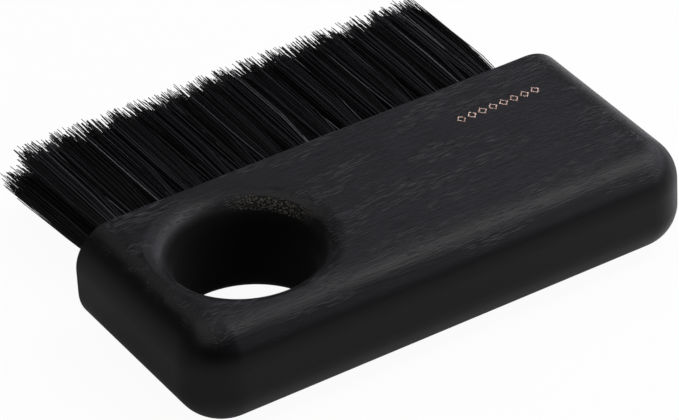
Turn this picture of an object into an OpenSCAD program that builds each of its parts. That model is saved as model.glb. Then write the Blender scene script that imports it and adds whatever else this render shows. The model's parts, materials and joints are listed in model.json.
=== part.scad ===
// Hand brush for a coffee bench. A rounded wooden block with a finger hole holds one flat
// fringe of bristles. The bristles stand in two staggered rows of tufts. Each tuft is folded
// over a flat wire anchor at the bottom of a blind hole, and fans out to meet its neighbours.
// Millimetres. The origin is the middle of the block's underside, and the bristles point to +Y.

/* [Wooden block] */
// Length of the block
block_l = 125; // [110:1:160]
// Width of the block, from its front to the cut face that holds the bristles
block_w = 52; // [48:1:75]
// Thickness of the planed board
block_t = 25; // [22:0.5:32]
// Radius of the round on the ends and on the front, above and below
edge_r = 9.5; // [3:0.5:10]
// Radius of the two front corners, seen from above
corner_r = 11; // [10.5:0.5:20]

/* [Finger hole] */
// Diameter of the hole
finger_d = 31; // [22:0.5:34]
// Distance from the block's left end to the middle of the hole
finger_from_end = 27.65; // [25.15:0.5:45.15]
// Distance from the bristle face to the middle of the hole
finger_from_back = 24.3; // [23:0.1:27]
// Radius of the round on the hole's two rims, which takes up most of its depth
finger_rim_r = 6.35; // [1.35:0.5:6.85]

/* [Tuft holes] */
// Diameter of a tuft's blind hole
socket_d = 4.4; // [3.6:0.1:4.7]
// Depth of a tuft's blind hole
socket_depth = 5.4; // [4.6:0.1:6]
// Distance from one tuft to the next in a row
tuft_pitch = 6.85; // [6.4:0.05:9]
// Distance between the two rows
row_gap = 4; // [3.7:0.1:6]
// Least distance from the block's end to the middle of a tuft
row_margin = 9; // [7:0.5:15]
// How far the rows lie to the right of the block's middle
row_shift = 0.5; // [-1:0.1:1]

/* [Bristles] */
// Length of the bristles outside the block
bristle_l = 47; // [30:1:70]
// How far the cut tips differ in length
tip_ragged = 2.5; // [0.5:0.5:4]
// Distance from the block at which the tufts have spread to meet each other
spread_l = 22; // [10:1:30]
// Thickness of the fringe where the tufts have spread
fringe_t = 10; // [8:0.5:12]
// How far the outermost tufts lean outwards at their tips
fan_out = 0.3; // [0:0.1:3]
// Depth of the grooves between the clumps of bristles at a tip
clump_depth = 0.6; // [0.1:0.05:0.8]
// Gap between one tuft and its neighbours
tuft_gap = 0.12; // [0.05:0.01:0.3]
// Gap between a tuft and the wall of its hole
socket_gap = 0.08; // [0.03:0.01:0.2]

/* [Wire anchors] */
// Length of an anchor, across its hole and into the wood on both sides
anchor_l = 5.6; // [5.2:0.1:6]
// Width of the flat wire, along the hole
anchor_w = 1.8; // [1.2:0.1:2.4]
// Thickness of the flat wire
anchor_t = 0.35; // [0.25:0.05:0.5]
// Thickness of the folded bristles under an anchor
fold_t = 1.5; // [1:0.1:2]

/* [Hidden] */
back_y = block_w / 2;
front_y = -block_w / 2;
finger_r = finger_d / 2;
finger_x = -block_l / 2 + finger_from_end;
finger_y = back_y - finger_from_back;
// The upper row has one tuft fewer, so that its tufts stand over the gaps of the lower row.
lower_tufts = floor((block_l - 2 * (row_margin + abs(row_shift))) / tuft_pitch) + 1;
upper_tufts = lower_tufts - 1;
TUFTS = [for (i = [0 : upper_tufts + lower_tufts - 1]) i];
tuft_r = socket_d / 2 - socket_gap;
tip_half_x = (tuft_pitch - tuft_gap) / 2;
tip_half_z = (fringe_t - tuft_gap) / 4;
// How far a tuft's middle moves away from the other row while it spreads
tip_rise = tip_half_z + tuft_gap / 2 - row_gap / 2;
socket_floor_y = back_y - socket_depth;
anchor_y = socket_floor_y + fold_t;
CLUMPS = 8;
AROUND = 3 * CLUMPS;
// Rings of a tuft, from its fold to just behind its tip, as shares of the bristle length
RINGS = [0.14, 0.36, 0.8];
// How deep the grooves are there, as shares of their full depth
GROOVES = [0.35, 1, 1];
// The part of a tip's radius where its inner ring of clumps lies
CROWN = 0.55;
$fn = 96;

// A tuft is named by its row and by its place in the row, counted from the left.
function is_upper(i) = i < upper_tufts;
function place(i) = is_upper(i) ? i : i - upper_tufts;
function tuft_name(i) =
    str(is_upper(i) ? "tuft_upper_" : "tuft_lower_", place(i) < 9 ? "0" : "", place(i) + 1);
function tuft_x(i) =
    row_shift + (place(i) - ((is_upper(i) ? upper_tufts : lower_tufts) - 1) / 2) * tuft_pitch;
function side(i) = is_upper(i) ? 1 : -1;
function tuft_z(i) = block_t / 2 + side(i) * row_gap / 2;

// How far a tuft has spread at a distance from the block, from 0 to 1
function spread(s) = s <= 0 ? 0 : 1 - pow(1 - min(1, s / spread_l), 2);
// One coordinate of a rounded square that turns into a circle as its power nears 1
function rounded(c, power) = sign(c) * pow(abs(c), power);
// A point of the tuft's outline at an angle, before it is moved to its place
function outline(angle, s, share, groove) =
    let (
        k = spread(s),
        power = 1 - 0.42 * k,
        half_x = tuft_r + (tip_half_x - tuft_r) * k,
        half_z = tuft_r + (tip_half_z - tuft_r) * k,
        inset = groove * (1 - cos(CLUMPS * angle)) / 1.5 / half_x
    )
    [half_x * rounded(cos(angle), power) * share * (1 - inset),
     half_z * rounded(sin(angle), power) * share * (1 - inset)];
// A ring of points round the tuft: its distances, its share of the radius and its grooves
function ring(lengths, share, groove, lean, rise) =
    [for (j = [0 : AROUND - 1])
        let (s = lengths[j], p = outline(360 * j / AROUND, s, share, groove))
        [p[0] + lean * pow(max(0, s) / bristle_l, 2), s, p[1] + rise * spread(s)]];
function level(s) = [for (j = [0 : AROUND - 1]) s];
function ragged(seed) = [for (r = rands(0, 1, AROUND, seed)) bristle_l - tip_ragged * r];

// The bundle of one tuft: straight in its hole, then fanned out, with a tip of pointed clumps
module bundle(i) {
    lean = fan_out * tuft_x(i) / (block_l / 2 - row_margin);
    rise = side(i) * tip_rise;
    rings = concat(
        [ring(level(-socket_depth), 1, 0, lean, rise), ring(level(0), 1, 0, lean, rise)],
        [for (k = [0 : len(RINGS) - 1])
            ring(level(RINGS[k] * bristle_l), 1, clump_depth * GROOVES[k], lean, rise)],
        [ring(ragged(2 * i + 1), 1, clump_depth, lean, rise),
         ring(ragged(2 * i + 2), CROWN, 0, lean, rise)]);
    last = len(rings) - 1;
    points = concat([for (r = rings) each r],
        [[0, -socket_depth, 0], [lean, bristle_l - tip_ragged / 2, rise]]);
    walls = [for (k = [0 : last - 1], j = [0 : AROUND - 1])
        let (a = k * AROUND + j, b = k * AROUND + (j + 1) % AROUND)
        each [[a, b, b + AROUND], [a, b + AROUND, a + AROUND]]];
    ends = [for (j = [0 : AROUND - 1])
        let (n = (j + 1) % AROUND, first_ring = len(points) - 2, top = last * AROUND)
        each [[n, j, first_ring], [top + j, top + n, first_ring + 1]]];
    polyhedron(points, concat(walls, ends), convexity = 4);
}

module at_socket(i) {
    translate([tuft_x(i), back_y, tuft_z(i)]) children();
}

// The flat wire, with a gap added on its two faces and past its ends
module anchor(i, face_gap, end_gap) {
    translate([tuft_x(i), anchor_y + anchor_w / 2, tuft_z(i)])
        cube([anchor_l + 2 * end_gap, anchor_w, anchor_t + 2 * face_gap], center = true);
}

// Outline of a rounded board edge, seen end on: square at x = 0 and round at x = reach
module edge_section(reach) {
    square([reach - edge_r, block_t]);
    translate([0, edge_r]) square([reach, block_t - 2 * edge_r]);
    for (y = [edge_r, block_t - edge_r])
        translate([reach - edge_r, y]) circle(edge_r);
}

module board() {
    straight_l = block_w - corner_r;
    for (side = [0, 1]) {
        // One half of the board, from its middle to its end
        mirror([side, 0, 0]) translate([0, back_y, 0]) rotate([90, 0, 0])
            linear_extrude(straight_l) edge_section(block_l / 2);
        // Front corner
        mirror([side, 0, 0]) translate([block_l / 2 - corner_r, front_y + corner_r, 0])
            rotate([0, 0, -90]) rotate_extrude(angle = 90) intersection() {
                square([corner_r + 1, block_t]);
                edge_section(corner_r);
            }
    }
    // Front edge, between the corners
    translate([block_l / 2 - corner_r, front_y + corner_r, 0]) rotate([90, 0, -90])
        linear_extrude(block_l - 2 * corner_r) edge_section(corner_r);
}

// What the drill and the rounding cutter take away: the bore, flared towards both faces
module finger_cut() {
    flare_r = finger_r + finger_rim_r;
    rotate_extrude() difference() {
        translate([0, -1]) square([flare_r, block_t + 2]);
        translate([finger_r, finger_rim_r])
            square([finger_rim_r, block_t - 2 * finger_rim_r]);
        for (y = [finger_rim_r, block_t - finger_rim_r])
            translate([flare_r, y]) circle(finger_rim_r);
    }
}

module block() {
    color("#26262a") difference() {
        board();
        translate([finger_x, finger_y, 0]) finger_cut();
        for (i = TUFTS) {
            at_socket(i) rotate([90, 0, 0]) cylinder(r = socket_d / 2, h = socket_depth);
            anchor(i, 0, 0);
        }
    }
}

module anchors() {
    color("#b9bcc0") for (i = TUFTS) anchor(i, 0, 0);
}

module tuft(i) {
    color("#101013") difference() {
        at_socket(i) bundle(i);
        anchor(i, 0.03, 1);
    }
}

block();
anchors();
for (i = TUFTS) tuft(i);
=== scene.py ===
"""Looks of a bench brush: a block of black-stained hardwood with a fringe of black nylon bristles."""

import json
import math

import bmesh
import bpy
import numpy as np
from mathutils import Matrix, Vector


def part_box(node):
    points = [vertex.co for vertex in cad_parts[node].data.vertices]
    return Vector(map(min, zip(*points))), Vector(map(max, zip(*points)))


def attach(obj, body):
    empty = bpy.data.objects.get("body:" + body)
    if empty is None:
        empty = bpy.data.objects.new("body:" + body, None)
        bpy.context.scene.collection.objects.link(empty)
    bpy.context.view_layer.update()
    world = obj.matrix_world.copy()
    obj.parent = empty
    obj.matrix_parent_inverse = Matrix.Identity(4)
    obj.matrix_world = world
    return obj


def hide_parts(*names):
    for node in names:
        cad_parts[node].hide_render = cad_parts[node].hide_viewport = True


MM = 0.001
BODY = "root"

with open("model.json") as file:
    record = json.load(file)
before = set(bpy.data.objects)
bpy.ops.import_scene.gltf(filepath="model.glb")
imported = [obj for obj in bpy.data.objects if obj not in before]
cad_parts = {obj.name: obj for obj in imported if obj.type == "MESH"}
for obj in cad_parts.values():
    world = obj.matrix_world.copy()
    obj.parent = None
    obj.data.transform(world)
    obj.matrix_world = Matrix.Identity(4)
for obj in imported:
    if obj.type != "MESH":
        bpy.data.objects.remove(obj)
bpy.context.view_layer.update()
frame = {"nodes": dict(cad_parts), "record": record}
_, block_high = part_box("block")
BACK_Y = block_high.y
TOP_Z = block_high.z


def srgb(code):
    """An sRGB hex colour as linear red, green, blue and alpha."""
    parts = [int(code[i : i + 2], 16) / 255 for i in (1, 3, 5)]
    linear = [c / 12.92 if c <= 0.04045 else ((c + 0.055) / 1.055) ** 2.4 for c in parts]
    return (*linear, 1.0)


def find_mount(name):
    """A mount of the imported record, by its name."""
    return next(mount for mount in frame["record"]["mounts"] if mount["name"] == name)


# Camera

IMAGE_WIDTH_PX = 679
SENSOR_WIDTH = 36.0
# Focal length in pixels of the image
FOCAL_PX = 4995.7
CAMERA_DISTANCE = 1104.1 * MM
CAMERA_AZIMUTH = math.radians(-30.375)
CAMERA_ELEVATION = math.radians(35.04)
CAMERA_ROLL = math.radians(-3.306)
# Where the camera's axis meets the resting plane: along the block, and behind its cut rear face
AIM_X = 6.1 * MM
AIM_BEHIND = 4.93 * MM
CLIP_START = 10 * MM


def make_camera():
    """A long lens, high on the left of the brush's front, turned a little about its own axis."""
    away = Vector(
        (
            math.sin(CAMERA_AZIMUTH) * math.cos(CAMERA_ELEVATION),
            -math.cos(CAMERA_AZIMUTH) * math.cos(CAMERA_ELEVATION),
            math.sin(CAMERA_ELEVATION),
        )
    )
    level = Vector((math.cos(CAMERA_AZIMUTH), math.sin(CAMERA_AZIMUTH), 0))
    upright = away.cross(level)
    right = level * math.cos(CAMERA_ROLL) + upright * math.sin(CAMERA_ROLL)
    up = upright * math.cos(CAMERA_ROLL) - level * math.sin(CAMERA_ROLL)
    aim = Vector((AIM_X, BACK_Y + AIM_BEHIND, 0))
    data = bpy.data.cameras.new("photo_camera")
    data.sensor_fit = "HORIZONTAL"
    data.sensor_width = SENSOR_WIDTH
    data.lens = FOCAL_PX * SENSOR_WIDTH / IMAGE_WIDTH_PX
    data.clip_start = CLIP_START
    camera = bpy.data.objects.new("photo_camera", data)
    turn = Matrix((right, up, away)).transposed().to_4x4()
    camera.matrix_world = Matrix.Translation(aim + away * CAMERA_DISTANCE) @ turn
    bpy.context.scene.collection.objects.link(camera)
    bpy.context.scene.camera = camera


# Materials


def add_node(tree, kind, inputs=None, **settings):
    """A node with its settings. Each input is a plain value or the output that feeds it."""
    node = tree.nodes.new(kind)
    for name, value in settings.items():
        setattr(node, name, value)
    for socket, value in (inputs or {}).items():
        if isinstance(value, bpy.types.NodeSocket):
            tree.links.new(value, node.inputs[socket])
        else:
            node.inputs[socket].default_value = value
    return node


def new_material(name):
    """An empty node material and its tree."""
    material = bpy.data.materials.new(name)
    material.use_nodes = True
    material.node_tree.nodes.clear()
    return material, material.node_tree


def finish_surface(tree, inputs):
    """The Principled surface that a material ends in."""
    shader = add_node(tree, "ShaderNodeBsdfPrincipled", inputs)
    add_node(tree, "ShaderNodeOutputMaterial", {"Surface": shader.outputs["BSDF"]})


# Open-pored hardwood, planed, rounded with a cutter, stained black and rubbed with a matt oil.
# The stain hides the figure, so the eye gets the pores: short grooves along the grain, whose far
# lip catches the light on a flat face, and which are dark lines in the shine of a rounded edge.
# The pores are drawn in a lighter colour, a painted highlight of that lit far lip.
# Top and bottom run in streaks from the dark stain to the light one. The sides and ends keep the dark
# one, which there is partly a painted shade.
STAIN_DARK = "#0a0a0b"
STAIN_LIGHT = "#1d1d20"
PORE_PAINTED_HIGHLIGHT = "#3b3b3e"
OIL_ROUGHNESS = 0.32
# The thin oil mirrors less than a varnish does
OIL_SHINE = 0.16
PORE_ROUGHNESS = 0.5
# Pores are up to 0.3 mm wide and 3.5 mm long, coarser than real ones so that they show
PORE_SPACING = 0.36 * MM
PORE_STRETCH = 11
# A pore's half width in spacings, where pores are scarce and where they crowd
PORE_SIZE_LEAST = 0.1
PORE_SIZE_MOST = 0.44
# How steep a pore's wall is, in depths to a spacing
PORE_SLOPE = 4.0
PORE_DEPTH = 0.1 * MM
# Crowding is a ring's early wood, from 0 to 1, times a patch noise of about a half. Pores grow
# from the first of these values to the second.
SCARCE_TO_CROWDED = (0.08, 0.42)
PATCH_SIZE = 8 * MM
PATCH_STRETCH = 3
RING_SPACING = 3.1 * MM
# How far the patches push the rings about
RING_WANDER = 3 * RING_SPACING
# The tree's middle lay below the board, so the rings show as wide bands along the top
PITH_Y = 12 * MM
PITH_Z = -70 * MM
# Pores crowd a little more from the first to the second of these places along the block
CROWDED_X = (-20 * MM, -50 * MM)
CROWDED_BY = 0.08
# Real fibres are a tenth of this, drawn coarser so that their streaks show
FIBRE_SPACING = 0.32 * MM
FIBRE_STRETCH = 24
# Fibre noise from the darkest to the lightest streak
FIBRE_NOISE = (0.37, 0.63)
# How proud the fibres stand and how rough the torn grain is, in depths of a pore
FIBRE_RELIEF = 0.9
TORN_RELIEF = 7.0
# Shares of a face's outward normal. Pores and fibres show where it points up or down, and fade
# where it turns to the ends. The ends are cut across the grain, which drinks the oil, so they
# are less smooth than the faces along the grain.
POINTS_UP = (0.4, 0.85)
TURNS_TO_END = (0.75, 0.2)
END_GRAIN = (0.6, 0.98)
END_ROUGHNESS = 0.6
# The cutter tore the end grain on the finger hole's rims, where it ran against the fibres. The
# stain didn't reach all of it, so the eye gets brownish specks between black pits.
TORN_COLOUR = "#48443d"
TORN_SPACING = 0.42 * MM
TORN_STRETCH = 1.3
# Torn noise from stained through to bare
TORN_NOISE = (0.5, 0.6)
# The middle of the torn stretch, as an angle from the grain towards the bristles, its half width,
# and how much of that it fades over
TORN_TOWARDS = math.radians(38)
TORN_HALF_WIDTH = math.radians(36)
TORN_FADE = math.radians(20)
# The torn ring's inner and outer edge, outside the bore's wall
TORN_IN = 1.0 * MM
TORN_OUT = 3.3 * MM
# The bore is left rough and soaks up more stain than the faces. Its darker colour is partly that
# stain and partly painted shade in the hole. It stays so up to the first of these distances
# outside its wall, and is like the faces from the second on.
BORE_STAIN_AND_SHADE = "#050505"
BORE_ROUGHNESS = 0.95
BORE_FULL = 0.66 * MM
BORE_OUT = 2.2 * MM


def along_grain(spacing, stretch):
    """Scales that count in spacings, drawn out along the grain, which runs along X."""
    return (1 / (spacing * stretch), 1 / spacing, 1 / spacing)


def face_masks(tree, normal):
    """How far a face is end grain, and how far it shows pores and fibres."""
    facing = add_node(tree, "ShaderNodeSeparateXYZ", {0: normal})
    endwards = add_node(
        tree, "ShaderNodeMath", {0: facing.outputs["X"]}, operation="ABSOLUTE"
    ).outputs[0]
    upwards = add_node(
        tree, "ShaderNodeMath", {0: facing.outputs["Z"]}, operation="ABSOLUTE"
    ).outputs[0]
    end_grain = add_node(
        tree,
        "ShaderNodeMapRange",
        {"Value": endwards, "From Min": END_GRAIN[0], "From Max": END_GRAIN[1]},
    ).outputs[0]
    flat = add_node(
        tree,
        "ShaderNodeMapRange",
        {"Value": upwards, "From Min": POINTS_UP[0], "From Max": POINTS_UP[1]},
    ).outputs[0]
    lengthwise = add_node(
        tree,
        "ShaderNodeMapRange",
        {"Value": endwards, "From Min": TURNS_TO_END[0], "From Max": TURNS_TO_END[1]},
    ).outputs[0]
    open_face = add_node(
        tree, "ShaderNodeMath", {0: flat, 1: lengthwise}, operation="MULTIPLY"
    ).outputs[0]
    return end_grain, open_face


def crowding(tree, place):
    """How crowded the pores are: high in the early wood of each ring and in some patches."""
    patch_place = add_node(
        tree,
        "ShaderNodeMapping",
        {"Vector": place, "Scale": along_grain(PATCH_SIZE, PATCH_STRETCH)},
    )
    patch = add_node(
        tree, "ShaderNodeTexNoise", {"Vector": patch_place.outputs[0], "Scale": 1.0, "Detail": 2.0}
    ).outputs[0]
    # A ring is told by its distance from the pith, pushed about by the patches
    level = add_node(
        tree, "ShaderNodeVectorMath", {0: place, 1: (0, 1, 1)}, operation="MULTIPLY"
    ).outputs[0]
    from_pith = add_node(
        tree, "ShaderNodeVectorMath", {0: level, 1: (0, PITH_Y, PITH_Z)}, operation="DISTANCE"
    ).outputs["Value"]
    wander = add_node(
        tree, "ShaderNodeMath", {0: patch, 1: RING_WANDER, 2: from_pith}, operation="MULTIPLY_ADD"
    ).outputs[0]
    rings = add_node(
        tree, "ShaderNodeMath", {0: wander, 1: RING_SPACING / 2}, operation="PINGPONG"
    ).outputs[0]
    early = add_node(
        tree, "ShaderNodeMath", {0: rings, 1: 2 / RING_SPACING}, operation="MULTIPLY"
    ).outputs[0]
    along = add_node(tree, "ShaderNodeSeparateXYZ", {0: place}).outputs["X"]
    crowded = add_node(
        tree,
        "ShaderNodeMapRange",
        {
            "Value": along,
            "From Min": CROWDED_X[0],
            "From Max": CROWDED_X[1],
            "To Max": CROWDED_BY,
        },
    ).outputs[0]
    patch = add_node(tree, "ShaderNodeMath", {0: patch, 1: crowded}, operation="ADD").outputs[0]
    return add_node(tree, "ShaderNodeMath", {0: early, 1: patch}, operation="MULTIPLY").outputs[0]


def open_pores(tree, place, open_face):
    """One inside a pore and nought between: cells drawn out along the grain."""
    pore_place = add_node(
        tree,
        "ShaderNodeMapping",
        {"Vector": place, "Scale": along_grain(PORE_SPACING, PORE_STRETCH)},
    )
    cells = add_node(
        tree, "ShaderNodeTexVoronoi", {"Vector": pore_place.outputs[0], "Scale": 1.0}, feature="F1"
    )
    size = add_node(
        tree,
        "ShaderNodeMapRange",
        {
            "Value": crowding(tree, place),
            "From Min": SCARCE_TO_CROWDED[0],
            "From Max": SCARCE_TO_CROWDED[1],
            "To Min": PORE_SIZE_LEAST,
            "To Max": PORE_SIZE_MOST,
        },
    ).outputs[0]
    inside = add_node(
        tree, "ShaderNodeMath", {0: size, 1: cells.outputs["Distance"]}, operation="SUBTRACT"
    ).outputs[0]
    pore = add_node(
        tree,
        "ShaderNodeMath",
        {0: inside, 1: PORE_SLOPE},
        operation="MULTIPLY",
        use_clamp=True,
    ).outputs[0]
    return add_node(tree, "ShaderNodeMath", {0: pore, 1: open_face}, operation="MULTIPLY").outputs[0]


def fibres(tree, place):
    """Fine streaks between the pores."""
    fibre_place = add_node(
        tree,
        "ShaderNodeMapping",
        {"Vector": place, "Scale": along_grain(FIBRE_SPACING, FIBRE_STRETCH)},
    )
    return add_node(
        tree,
        "ShaderNodeTexNoise",
        {"Vector": fibre_place.outputs[0], "Scale": 1.0, "Detail": 3.0, "Roughness": 0.6},
    ).outputs[0]


def torn_specks(tree, place):
    """The grit of torn end grain: high in specks that stand up, low in the pits between."""
    torn_place = add_node(
        tree,
        "ShaderNodeMapping",
        {"Vector": place, "Scale": along_grain(TORN_SPACING, TORN_STRETCH)},
    )
    return add_node(
        tree, "ShaderNodeTexNoise", {"Vector": torn_place.outputs[0], "Scale": 1.0, "Detail": 4.0}
    ).outputs[0]


def finger_hole_masks(tree, place):
    """Masks of the rough bore, and of the stretches of its rims where the end grain is torn."""
    finger = find_mount("finger_hole")
    finger_x, finger_y, _ = finger["pos_m"]
    bore_r = finger["dims"]["r_mm"] * MM
    from_axis = add_node(
        tree,
        "ShaderNodeVectorMath",
        {0: place, 1: (finger_x, finger_y, 0)},
        operation="SUBTRACT",
    ).outputs[0]
    level = add_node(
        tree, "ShaderNodeVectorMath", {0: from_axis, 1: (1, 1, 0)}, operation="MULTIPLY"
    ).outputs[0]
    radius = add_node(
        tree, "ShaderNodeVectorMath", {0: level}, operation="LENGTH"
    ).outputs["Value"]
    in_bore = add_node(
        tree,
        "ShaderNodeMapRange",
        {"Value": radius, "From Min": bore_r + BORE_OUT, "From Max": bore_r + BORE_FULL},
    ).outputs[0]
    in_ring = add_node(
        tree,
        "ShaderNodeMath",
        {0: radius, 1: bore_r + (TORN_IN + TORN_OUT) / 2, 2: (TORN_OUT - TORN_IN) / 2},
        operation="COMPARE",
    ).outputs[0]
    # The cutter ran against the fibres in two opposite stretches of the circle
    direction = add_node(
        tree, "ShaderNodeVectorMath", {0: level}, operation="NORMALIZE"
    ).outputs[0]
    towards = (math.cos(TORN_TOWARDS), math.sin(TORN_TOWARDS), 0)
    along = add_node(
        tree, "ShaderNodeVectorMath", {0: direction, 1: towards}, operation="DOT_PRODUCT"
    ).outputs["Value"]
    against = add_node(tree, "ShaderNodeMath", {0: along}, operation="ABSOLUTE").outputs[0]
    torn = add_node(
        tree,
        "ShaderNodeMapRange",
        {
            "Value": against,
            "From Min": math.cos(TORN_HALF_WIDTH),
            "From Max": math.cos(TORN_HALF_WIDTH - TORN_FADE),
        },
    ).outputs[0]
    torn = add_node(tree, "ShaderNodeMath", {0: torn, 1: in_ring}, operation="MULTIPLY").outputs[0]
    return in_bore, torn


def wood_colour(tree, fibre, open_face, pore, in_bore, torn, speck):
    """Streaks, darker bore, torn specks, painted shade on sides and ends, pores in painted highlight.
    """
    streak = add_node(
        tree,
        "ShaderNodeMapRange",
        {"Value": fibre, "From Min": FIBRE_NOISE[0], "From Max": FIBRE_NOISE[1]},
    ).outputs[0]
    # On the sides and ends the streaks fade to the dark stain: partly the streaks fading, partly
    # painted shade on those faces
    shade = add_node(
        tree, "ShaderNodeMath", {0: streak, 1: open_face}, operation="MULTIPLY"
    ).outputs[0]
    colour = add_node(
        tree,
        "ShaderNodeMix",
        {"Factor": shade, "A": srgb(STAIN_DARK), "B": srgb(STAIN_LIGHT)},
        data_type="RGBA",
    ).outputs["Result"]
    # The bore and the torn ring take the bore's darker colour: soaked stain, and in the bore partly
    # painted shade
    soaked_and_shaded = add_node(tree, "ShaderNodeMath", {0: in_bore, 1: torn}, operation="MAXIMUM").outputs[0]
    colour = add_node(
        tree,
        "ShaderNodeMix",
        {"Factor": soaked_and_shaded, "A": colour, "B": srgb(BORE_STAIN_AND_SHADE)},
        data_type="RGBA",
    ).outputs["Result"]
    bare = add_node(
        tree,
        "ShaderNodeMapRange",
        {"Value": speck, "From Min": TORN_NOISE[0], "From Max": TORN_NOISE[1]},
    ).outputs[0]
    bare = add_node(tree, "ShaderNodeMath", {0: bare, 1: torn}, operation="MULTIPLY").outputs[0]
    colour = add_node(
        tree,
        "ShaderNodeMix",
        {"Factor": bare, "A": colour, "B": srgb(TORN_COLOUR)},
        data_type="RGBA",
    ).outputs["Result"]
    # The pores go over everything in a lighter colour, a painted highlight of their lit far lip
    return add_node(
        tree,
        "ShaderNodeMix",
        {"Factor": pore, "A": colour, "B": srgb(PORE_PAINTED_HIGHLIGHT)},
        data_type="RGBA",
    ).outputs["Result"]


def wood_roughness(tree, end_grain, pore, in_bore, torn):
    """Oiled faces, less smooth end grain, rougher pores and torn grain, and the raw bore."""
    smooth = add_node(
        tree,
        "ShaderNodeMapRange",
        {"Value": end_grain, "To Min": OIL_ROUGHNESS, "To Max": END_ROUGHNESS},
    ).outputs[0]
    rough = add_node(tree, "ShaderNodeMath", {0: pore, 1: torn}, operation="MAXIMUM").outputs[0]
    roughness = add_node(
        tree,
        "ShaderNodeMix",
        {"Factor": rough, "A": smooth, "B": PORE_ROUGHNESS},
        data_type="FLOAT",
    ).outputs["Result"]
    return add_node(
        tree,
        "ShaderNodeMix",
        {"Factor": in_bore, "A": roughness, "B": BORE_ROUGHNESS},
        data_type="FLOAT",
    ).outputs["Result"]


def wood_relief(tree, fibre, open_face, pore, torn, speck):
    """Relief in pore depths: fibres stand a little proud, pores are cut in, torn grain does both."""
    relief = add_node(
        tree, "ShaderNodeMath", {0: fibre, 1: FIBRE_RELIEF}, operation="MULTIPLY"
    ).outputs[0]
    relief = add_node(
        tree, "ShaderNodeMath", {0: relief, 1: open_face}, operation="MULTIPLY"
    ).outputs[0]
    relief = add_node(
        tree, "ShaderNodeMath", {0: relief, 1: pore}, operation="SUBTRACT"
    ).outputs[0]
    ragged = add_node(tree, "ShaderNodeMath", {0: speck, 1: torn}, operation="MULTIPLY").outputs[0]
    relief = add_node(
        tree, "ShaderNodeMath", {0: ragged, 1: TORN_RELIEF, 2: relief}, operation="MULTIPLY_ADD"
    ).outputs[0]
    return add_node(
        tree, "ShaderNodeBump", {"Strength": 1.0, "Distance": PORE_DEPTH, "Height": relief}
    ).outputs["Normal"]


def stained_hardwood():
    """The block's wood. The grain runs along the block."""
    material, tree = new_material("black_stained_hardwood")
    coordinates = add_node(tree, "ShaderNodeTexCoord")
    place = coordinates.outputs["Object"]
    end_grain, open_face = face_masks(tree, coordinates.outputs["Normal"])
    in_bore, torn = finger_hole_masks(tree, place)
    pore = open_pores(tree, place, open_face)
    fibre = fibres(tree, place)
    speck = torn_specks(tree, place)
    finish_surface(
        tree,
        {
            "Base Color": wood_colour(tree, fibre, open_face, pore, in_bore, torn, speck),
            "Normal": wood_relief(tree, fibre, open_face, pore, torn, speck),
            "Roughness": wood_roughness(tree, end_grain, pore, in_bore, torn),
            "Specular IOR Level": OIL_SHINE,
        },
    )
    return material


# Black nylon filament, drawn and crimped. It is dark right through with a satin skin, and its
# shade differs at random from filament to filament. The lightest shades, for a few filaments, are
# painted glints along their length. Each shade stands at its share of the filaments.
NYLON_SHADES_AND_GLINTS = (
    (0.0, "#000000"),
    (0.5, "#121213"),
    (0.93, "#29292d"),
    (0.97, "#46464c"),
    (1.0, "#88888f"),
)
NYLON_ROUGHNESS = 0.35
# Crimped filaments scatter what they mirror, so little of it reaches the eye
NYLON_SHINE = 0.08


def black_nylon():
    """Bristles whose shade differs from filament to filament, a few with a painted glint."""
    material, tree = new_material("black_nylon_filament")
    strand = add_node(
        tree, "ShaderNodeAttribute", attribute_name="strand", attribute_type="GEOMETRY"
    )
    ramp = add_node(tree, "ShaderNodeValToRGB", {"Fac": strand.outputs["Fac"]})
    stops = ramp.color_ramp.elements
    while len(stops) < len(NYLON_SHADES_AND_GLINTS):
        stops.new(0.5)
    for stop, (position, colour) in zip(stops, NYLON_SHADES_AND_GLINTS):
        stop.position = position
        stop.color = srgb(colour)
    finish_surface(
        tree,
        {
            "Base Color": ramp.outputs["Color"],
            "Roughness": NYLON_ROUGHNESS,
            "Specular IOR Level": NYLON_SHINE,
        },
    )
    return material


# Hot-stamped copper foil. It takes on the roughness of the wood under it and is rubbed thin in
# places, so it glitters.
FOIL_COLOUR = "#ffe2cf"
FOIL_RUBBED = "#6a3a28"
FOIL_GRIT = 0.25 * MM
FOIL_GRIT_STRETCH = 2
# Grit noise from rubbed thin to whole
FOIL_NOISE = (0.4, 0.52)
FOIL_RUBBED_ROUGHNESS = 0.55
FOIL_ROUGHNESS = 0.22
FOIL_RELIEF = 0.16 * MM


def copper_foil():
    """Foil that tilts with the grit under it, brown where it is rubbed."""
    material, tree = new_material("stamped_copper_foil")
    place = add_node(tree, "ShaderNodeTexCoord").outputs["Object"]
    grit_place = add_node(
        tree,
        "ShaderNodeMapping",
        {"Vector": place, "Scale": along_grain(FOIL_GRIT, FOIL_GRIT_STRETCH)},
    )
    grit = add_node(
        tree, "ShaderNodeTexNoise", {"Vector": grit_place.outputs[0], "Scale": 1.0, "Detail": 3.0}
    ).outputs[0]
    whole = add_node(
        tree,
        "ShaderNodeMapRange",
        {"Value": grit, "From Min": FOIL_NOISE[0], "From Max": FOIL_NOISE[1]},
    ).outputs[0]
    colour = add_node(
        tree,
        "ShaderNodeMix",
        {"Factor": whole, "A": srgb(FOIL_RUBBED), "B": srgb(FOIL_COLOUR)},
        data_type="RGBA",
    ).outputs["Result"]
    roughness = add_node(
        tree,
        "ShaderNodeMapRange",
        {"Value": whole, "To Min": FOIL_RUBBED_ROUGHNESS, "To Max": FOIL_ROUGHNESS},
    ).outputs[0]
    bump = add_node(
        tree, "ShaderNodeBump", {"Strength": 1.0, "Distance": FOIL_RELIEF, "Height": grit}
    )
    finish_surface(
        tree,
        {
            "Base Color": colour,
            "Metallic": 1.0,
            "Roughness": roughness,
            "Normal": bump.outputs["Normal"],
        },
    )
    return material


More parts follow.
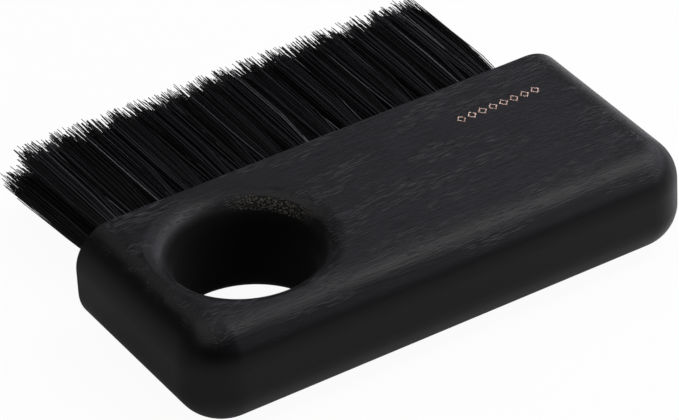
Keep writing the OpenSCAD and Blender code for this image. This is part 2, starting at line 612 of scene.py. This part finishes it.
# Galvanised flat wire, rolled bright. Fine draw lines run along it and break up its shine.
WIRE_COLOUR = "#c9ccd0"
WIRE_ROUGHNESS = (0.25, 0.45)
DRAW_LINE = 0.1 * MM
DRAW_LINE_STRETCH = 20


def bright_wire():
    """The anchors' wire, which runs along the block as the grain does."""
    material, tree = new_material("bright_flat_wire")
    place = add_node(tree, "ShaderNodeTexCoord").outputs["Object"]
    lines = add_node(
        tree,
        "ShaderNodeMapping",
        {"Vector": place, "Scale": along_grain(DRAW_LINE, DRAW_LINE_STRETCH)},
    )
    noise = add_node(tree, "ShaderNodeTexNoise", {"Vector": lines.outputs[0], "Scale": 1.0})
    roughness = add_node(
        tree,
        "ShaderNodeMapRange",
        {"Value": noise.outputs[0], "To Min": WIRE_ROUGHNESS[0], "To Max": WIRE_ROUGHNESS[1]},
    )
    finish_surface(
        tree,
        {"Base Color": srgb(WIRE_COLOUR), "Metallic": 1.0, "Roughness": roughness.outputs[0]},
    )
    return material


# Bristles

FILAMENTS = 300
# A filament is too thin to show its sides, so four are enough
SIDES = 4
FILAMENT_R = 0.12 * MM
# Radius of a filament's cut tip, as a share of its own
TIP_TAPER = 0.8
# Where along a filament its rings lie, as shares of its length outside the block. The first one
# is moved into the hole, this deep.
STATIONS = (0.0, 0.1, 0.25, 0.5, 0.8, 0.92, 1.0)
ROOT_DEPTH = 2.0 * MM
# Over this length a tuft opens, fast at first, until it meets its neighbours
SPREAD_LENGTH = 22 * MM
SPREAD_POWER = 1.3
GOLDEN_ANGLE = math.pi * (3 - math.sqrt(5))
# A tuft parts into locks halfway along
LOCKS = 12
LOCK_LEAN = 0.25 * MM
# Its tips close up in twos and threes, halfway to their middle
TEETH = 120
TEETH_LENGTH = 9 * MM
TEETH_CLOSE = 0.5
# How far filaments stop short of the longest one, for these shares of them
SHORT_SHARES = (0, 0.3, 0.4, 1)
TIP_SHORT = (0, 1.6 * MM, 3.8 * MM, 5.8 * MM)
# How far a filament's tip strays from its even place, and its middle from a straight line
STRAY = 0.18 * MM
BOW = 0.2 * MM
# Each row's first tuft, on the left, leans out this much more, and the next ones ever less
FLARE = -0.7 * MM
FLARE_FADE = 0.8
LEFT_END_TUFT = "tuft_lower_01"
# Of a tuft's solid, what lies this far inside the block is its root, and this far outside its tip
ROOT_INSIDE = 1 * MM
TIP_OUTSIDE = 40 * MM


def tuft_places(node):
    """A tuft's hole and tip: their middles, the tip's half sizes, the hole's radius, the length."""
    mesh = frame["nodes"][node].data
    points = np.empty(len(mesh.vertices) * 3)
    mesh.vertices.foreach_get("co", points)
    points = points.reshape(-1, 3)
    root = points[points[:, 1] < BACK_Y - ROOT_INSIDE]
    tip = points[points[:, 1] > BACK_Y + TIP_OUTSIDE]
    root_middle = (root.max(0) + root.min(0)) / 2
    tip_middle = (tip.max(0) + tip.min(0)) / 2
    half = (tip.max(0) - tip.min(0)) / 2
    root_r = (root[:, 2].max() - root[:, 2].min()) / 2
    return root_middle, tip_middle, half, root_r, points[:, 1].max() - BACK_Y


def sunflower(count, turn):
    """Points spread evenly over a disc of radius 1."""
    k = np.arange(count)
    share = np.sqrt((k + 0.5) / count)
    angle = k * GOLDEN_ANGLE + turn
    return np.stack([share * np.cos(angle), share * np.sin(angle)], 1)


def nearest(points, centres):
    """The number of the centre that is nearest to each point."""
    return ((points[:, None] - centres[None]) ** 2).sum(2).argmin(1)


def filament_paths(node, rng, flare, is_left_end):
    """Centre lines of one tuft's filaments, as an array of filament, station and coordinate."""
    root, tip, half, root_r, length = tuft_places(node)
    disc = sunflower(FILAMENTS, rng.uniform(0, 2 * math.pi))
    start = disc * (root_r - FILAMENT_R)
    # The tip fills its cell of the row: the disc is drawn out to a square
    radius = np.linalg.norm(disc, axis=1, keepdims=True)
    spread = disc / np.abs(disc).max(1, keepdims=True) * radius * half[[0, 2]]
    spread += rng.normal(0, STRAY, spread.shape)

    lock = nearest(disc, sunflower(LOCKS, rng.uniform(0, 2 * math.pi)))
    lock_lean = rng.normal(0, LOCK_LEAN, (LOCKS, 2))[lock]
    tooth = nearest(disc, sunflower(TEETH, rng.uniform(0, 2 * math.pi)))
    members = np.maximum(np.bincount(tooth, minlength=TEETH), 1)
    middle = np.stack([np.bincount(tooth, spread[:, i], TEETH) / members for i in (0, 1)], 1)
    to_tooth = (middle[tooth] - spread) * TEETH_CLOSE

    short = np.interp(rng.random(FILAMENTS), SHORT_SHARES, TIP_SHORT)
    s = np.array(STATIONS)[None, :] * (length - short)[:, None]
    s[:, 0] = -ROOT_DEPTH
    share = np.clip(s / length, 0, 1)
    opened = 1 - (1 - np.clip(s / SPREAD_LENGTH, 0, 1)) ** SPREAD_POWER
    closed = np.clip((s - length + TEETH_LENGTH) / TEETH_LENGTH, 0, 1)
    wave = np.sin(math.pi * share)
    bow = rng.normal(0, BOW, (FILAMENTS, 2))
    # The outer side of the fringe's left end meets no neighbour, and opens evenly instead
    opened_x = np.where((spread[:, :1] < 0) & is_left_end, share, opened)
    paths = np.empty((FILAMENTS, len(STATIONS), 3))
    for axis, column, how_open in ((0, 0, opened_x), (2, 1, opened)):
        lean = tip[axis] - root[axis]
        paths[..., axis] = root[axis] + start[:, column : column + 1]
        paths[..., axis] += (spread - start)[:, column : column + 1] * how_open
        paths[..., axis] += lean * (share**2 if axis == 0 else opened)
        paths[..., axis] += to_tooth[:, column : column + 1] * closed
        paths[..., axis] += (bow + lock_lean)[:, column : column + 1] * wave
    paths[..., 0] += flare * share**2
    paths[..., 1] = BACK_Y + s
    return paths


def make_tuft(node, material, seed, flare, is_left_end):
    """One tuft as closed, tapered tubes that follow its filaments."""
    rng = np.random.default_rng(seed)
    paths = filament_paths(node, rng, flare, is_left_end)
    count, rings, _ = paths.shape
    radii = np.full(rings, FILAMENT_R)
    radii[-1] *= TIP_TAPER
    turn = np.arange(SIDES) * 2 * math.pi / SIDES
    circle = np.stack([np.cos(turn), np.zeros(SIDES), np.sin(turn)], 1)
    points = paths[:, :, None, :] + radii[None, :, None, None] * circle[None, None]
    index = np.arange(count * rings * SIDES).reshape(count, rings, SIDES)
    around = np.roll(index, -1, axis=2)
    walls = np.stack([index[:, :-1], index[:, 1:], around[:, 1:], around[:, :-1]], -1)
    faces = np.concatenate([walls.reshape(-1, 4), index[:, 0], index[:, -1, ::-1]])
    mesh = bpy.data.meshes.new(node.replace("tuft", "bristles"))
    mesh.from_pydata(points.reshape(-1, 3).tolist(), [], faces.tolist())
    mesh.shade_smooth()
    # A random value per filament picks its shade, and the highest values give painted glints
    strand = mesh.attributes.new("strand", "FLOAT", "POINT")
    shades = np.repeat(rng.random(count), rings * SIDES)
    strand.data.foreach_set("value", shades.astype(np.float32))
    mesh.materials.append(material)
    piece = bpy.data.objects.new(mesh.name, mesh)
    bpy.context.scene.collection.objects.link(piece)
    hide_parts(node)
    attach(piece, BODY)


def make_fringe():
    """Loose filaments in place of every tuft's solid. A tuft's name ends in its place in its row."""
    material = black_nylon()
    tufts = sorted(name for name in frame["nodes"] if name.startswith("tuft_"))
    for seed, node in enumerate(tufts):
        place = int(node[-2:]) - 1
        flare = FLARE * math.exp(-place / FLARE_FADE)
        make_tuft(node, material, seed, flare, node == LEFT_END_TUFT)


# Foil marks: a plain row of lozenge outlines, stamped into the top near its right rear corner

FOIL_COUNT = 8
FOIL_PITCH = 2.75 * MM
FOIL_MIDDLE_X = 37.6 * MM
# From the cut rear face to the middle of the row
FOIL_IN = 12.4 * MM
FOIL_HALF_SIZE = (1.15 * MM, 1.35 * MM)
FOIL_STROKE = 0.42 * MM
FOIL_THICKNESS = 0.03 * MM


def make_foil_row():
    """Thin closed rings, let halfway into the top face."""
    builder = bmesh.new()
    for i in range(FOIL_COUNT):
        x = FOIL_MIDDLE_X + (i - (FOIL_COUNT - 1) / 2) * FOIL_PITCH
        y = BACK_Y - FOIL_IN
        loops = []
        for level in (-FOIL_THICKNESS / 2, FOIL_THICKNESS / 2):
            for inset in (0, FOIL_STROKE):
                half_x, half_y = (half - inset for half in FOIL_HALF_SIZE)
                corners = ((half_x, 0), (0, half_y), (-half_x, 0), (0, -half_y))
                loops.append(
                    [builder.verts.new((x + dx, y + dy, TOP_Z + level)) for dx, dy in corners]
                )
        low_out, low_in, high_out, high_in = loops
        sides = (
            (high_out, high_in),
            (low_in, low_out),
            (low_out, high_out),
            (high_in, low_in),
        )
        for first, second in sides:
            for a in range(4):
                b = (a + 1) % 4
                builder.faces.new((first[a], first[b], second[b], second[a]))
    bmesh.ops.recalc_face_normals(builder, faces=builder.faces)
    mesh = bpy.data.meshes.new("foil_row")
    builder.to_mesh(mesh)
    builder.free()
    mesh.materials.append(copper_foil())
    piece = bpy.data.objects.new("foil_row", mesh)
    bpy.context.scene.collection.objects.link(piece)
    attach(piece, BODY)


# Stage

WALL_R = 2.6
WALL_H = 0.45
WALL_SIDES = 96
# A hair under the resting plane, so that it doesn't coincide with the block's underside
FLOOR_Z = -0.05 * MM
FLOOR_WHITE = "#e2e2e2"
# How much of the floor's and wall's white is its own: to the camera, where a faint shadow is
# left, and in reflections, where the shadow beside the brush has to show
OWN_WHITE = 0.95
MIRRORED_WHITE = 0.1
ROOM_LIGHT = 0.03
LAMP_DISTANCE = 1.2
# Each lamp's name, its direction from the brush, its width and height, its radiance and its colour
SOFTBOXES = (
    ("window_softbox", (0.87, -0.223, 0.44), (2.52, 0.75), 2.05, "#f5f3ff"),
    ("overhead_softbox", (0.537, -0.148, 0.83), (0.64, 0.78), 5.0, "#ffffff"),
    ("fill_softbox", (-0.309, 0.182, 0.934), (1.62, 0.93), 1.4, "#ffffff"),
    ("rear_softbox", (0.468, 0.581, 0.666), (0.25, 0.54), 2.2, "#f2efff"),
)


def stage_white():
    """Matt white paint. What the camera and reflections see of it is lifted towards plain white."""
    material, tree = new_material("matt_white_stage")
    rays = add_node(tree, "ShaderNodeLightPath")
    mirrored = add_node(
        tree,
        "ShaderNodeMath",
        {0: rays.outputs["Is Glossy Ray"], 1: rays.outputs["Is Transmission Ray"]},
        operation="MAXIMUM",
    )
    mirrored = add_node(
        tree, "ShaderNodeMath", {0: mirrored.outputs[0], 1: MIRRORED_WHITE}, operation="MULTIPLY"
    )
    share = add_node(
        tree,
        "ShaderNodeMath",
        {0: rays.outputs["Is Camera Ray"], 1: OWN_WHITE, 2: mirrored.outputs[0]},
        operation="MULTIPLY_ADD",
    )
    paint = add_node(tree, "ShaderNodeBsdfDiffuse", {"Color": srgb(FLOOR_WHITE)})
    white = add_node(tree, "ShaderNodeEmission", {"Color": (1, 1, 1, 1), "Strength": 1.0})
    surface = add_node(
        tree,
        "ShaderNodeMixShader",
        {0: share.outputs[0], 1: paint.outputs[0], 2: white.outputs[0]},
    )
    add_node(tree, "ShaderNodeOutputMaterial", {"Surface": surface.outputs[0]})
    return material


def make_stage():
    """A plain white floor, and a low white wall round it that hides its far edge."""
    material = stage_white()
    turns = [2 * math.pi * i / WALL_SIDES for i in range(WALL_SIDES)]
    ring = [(WALL_R * math.cos(t), WALL_R * math.sin(t)) for t in turns]
    floor_mesh = bpy.data.meshes.new("floor")
    floor_mesh.from_pydata([(x, y, FLOOR_Z) for x, y in ring], [], [tuple(range(WALL_SIDES))])
    wall_points = [(x, y, z) for z in (FLOOR_Z, WALL_H) for x, y in ring]
    wall_faces = []
    for i in range(WALL_SIDES):
        j = (i + 1) % WALL_SIDES
        wall_faces.append((i, i + WALL_SIDES, j + WALL_SIDES, j))
    wall_mesh = bpy.data.meshes.new("wall")
    wall_mesh.from_pydata(wall_points, [], wall_faces)
    for mesh in (floor_mesh, wall_mesh):
        mesh.materials.append(material)
        thing = bpy.data.objects.new(mesh.name, mesh)
        bpy.context.scene.collection.objects.link(thing)


def make_room():
    """The dim even light of the room round the lamps."""
    world = bpy.data.worlds.new("room")
    bpy.context.scene.world = world
    world.use_nodes = True
    tree = world.node_tree
    tree.nodes.clear()
    background = add_node(
        tree, "ShaderNodeBackground", {"Color": (1, 1, 1, 1), "Strength": ROOM_LIGHT}
    )
    add_node(tree, "ShaderNodeOutputWorld", {"Surface": background.outputs[0]})


def make_softbox(name, direction, size, radiance, colour):
    """A rectangular lamp with an even face, aimed at the middle of the brush."""
    aim = Vector((0, 0, TOP_Z))
    away = Vector(direction).normalized()
    data = bpy.data.lights.new(name, "AREA")
    data.shape = "RECTANGLE"
    data.size, data.size_y = size
    # Cycles spreads an area lamp's watts over its face and over pi
    data.energy = radiance * math.pi * size[0] * size[1]
    data.color = srgb(colour)[:3]
    lamp = bpy.data.objects.new(name, data)
    turn = away.to_track_quat("Z", "Y").to_matrix().to_4x4()
    lamp.matrix_world = Matrix.Translation(aim + away * LAMP_DISTANCE) @ turn
    bpy.context.scene.collection.objects.link(lamp)


def dress_nodes():
    """The CAD solids that stay get their finish."""
    for node, material in (("block", stained_hardwood()), ("anchors", bright_wire())):
        mesh = frame["nodes"][node].data
        mesh.materials.clear()
        mesh.materials.append(material)


make_camera()
bpy.context.scene.view_settings.view_transform = "Standard"
make_room()
make_stage()
for softbox in SOFTBOXES:
    make_softbox(*softbox)
dress_nodes()
make_fringe()
make_foil_row()
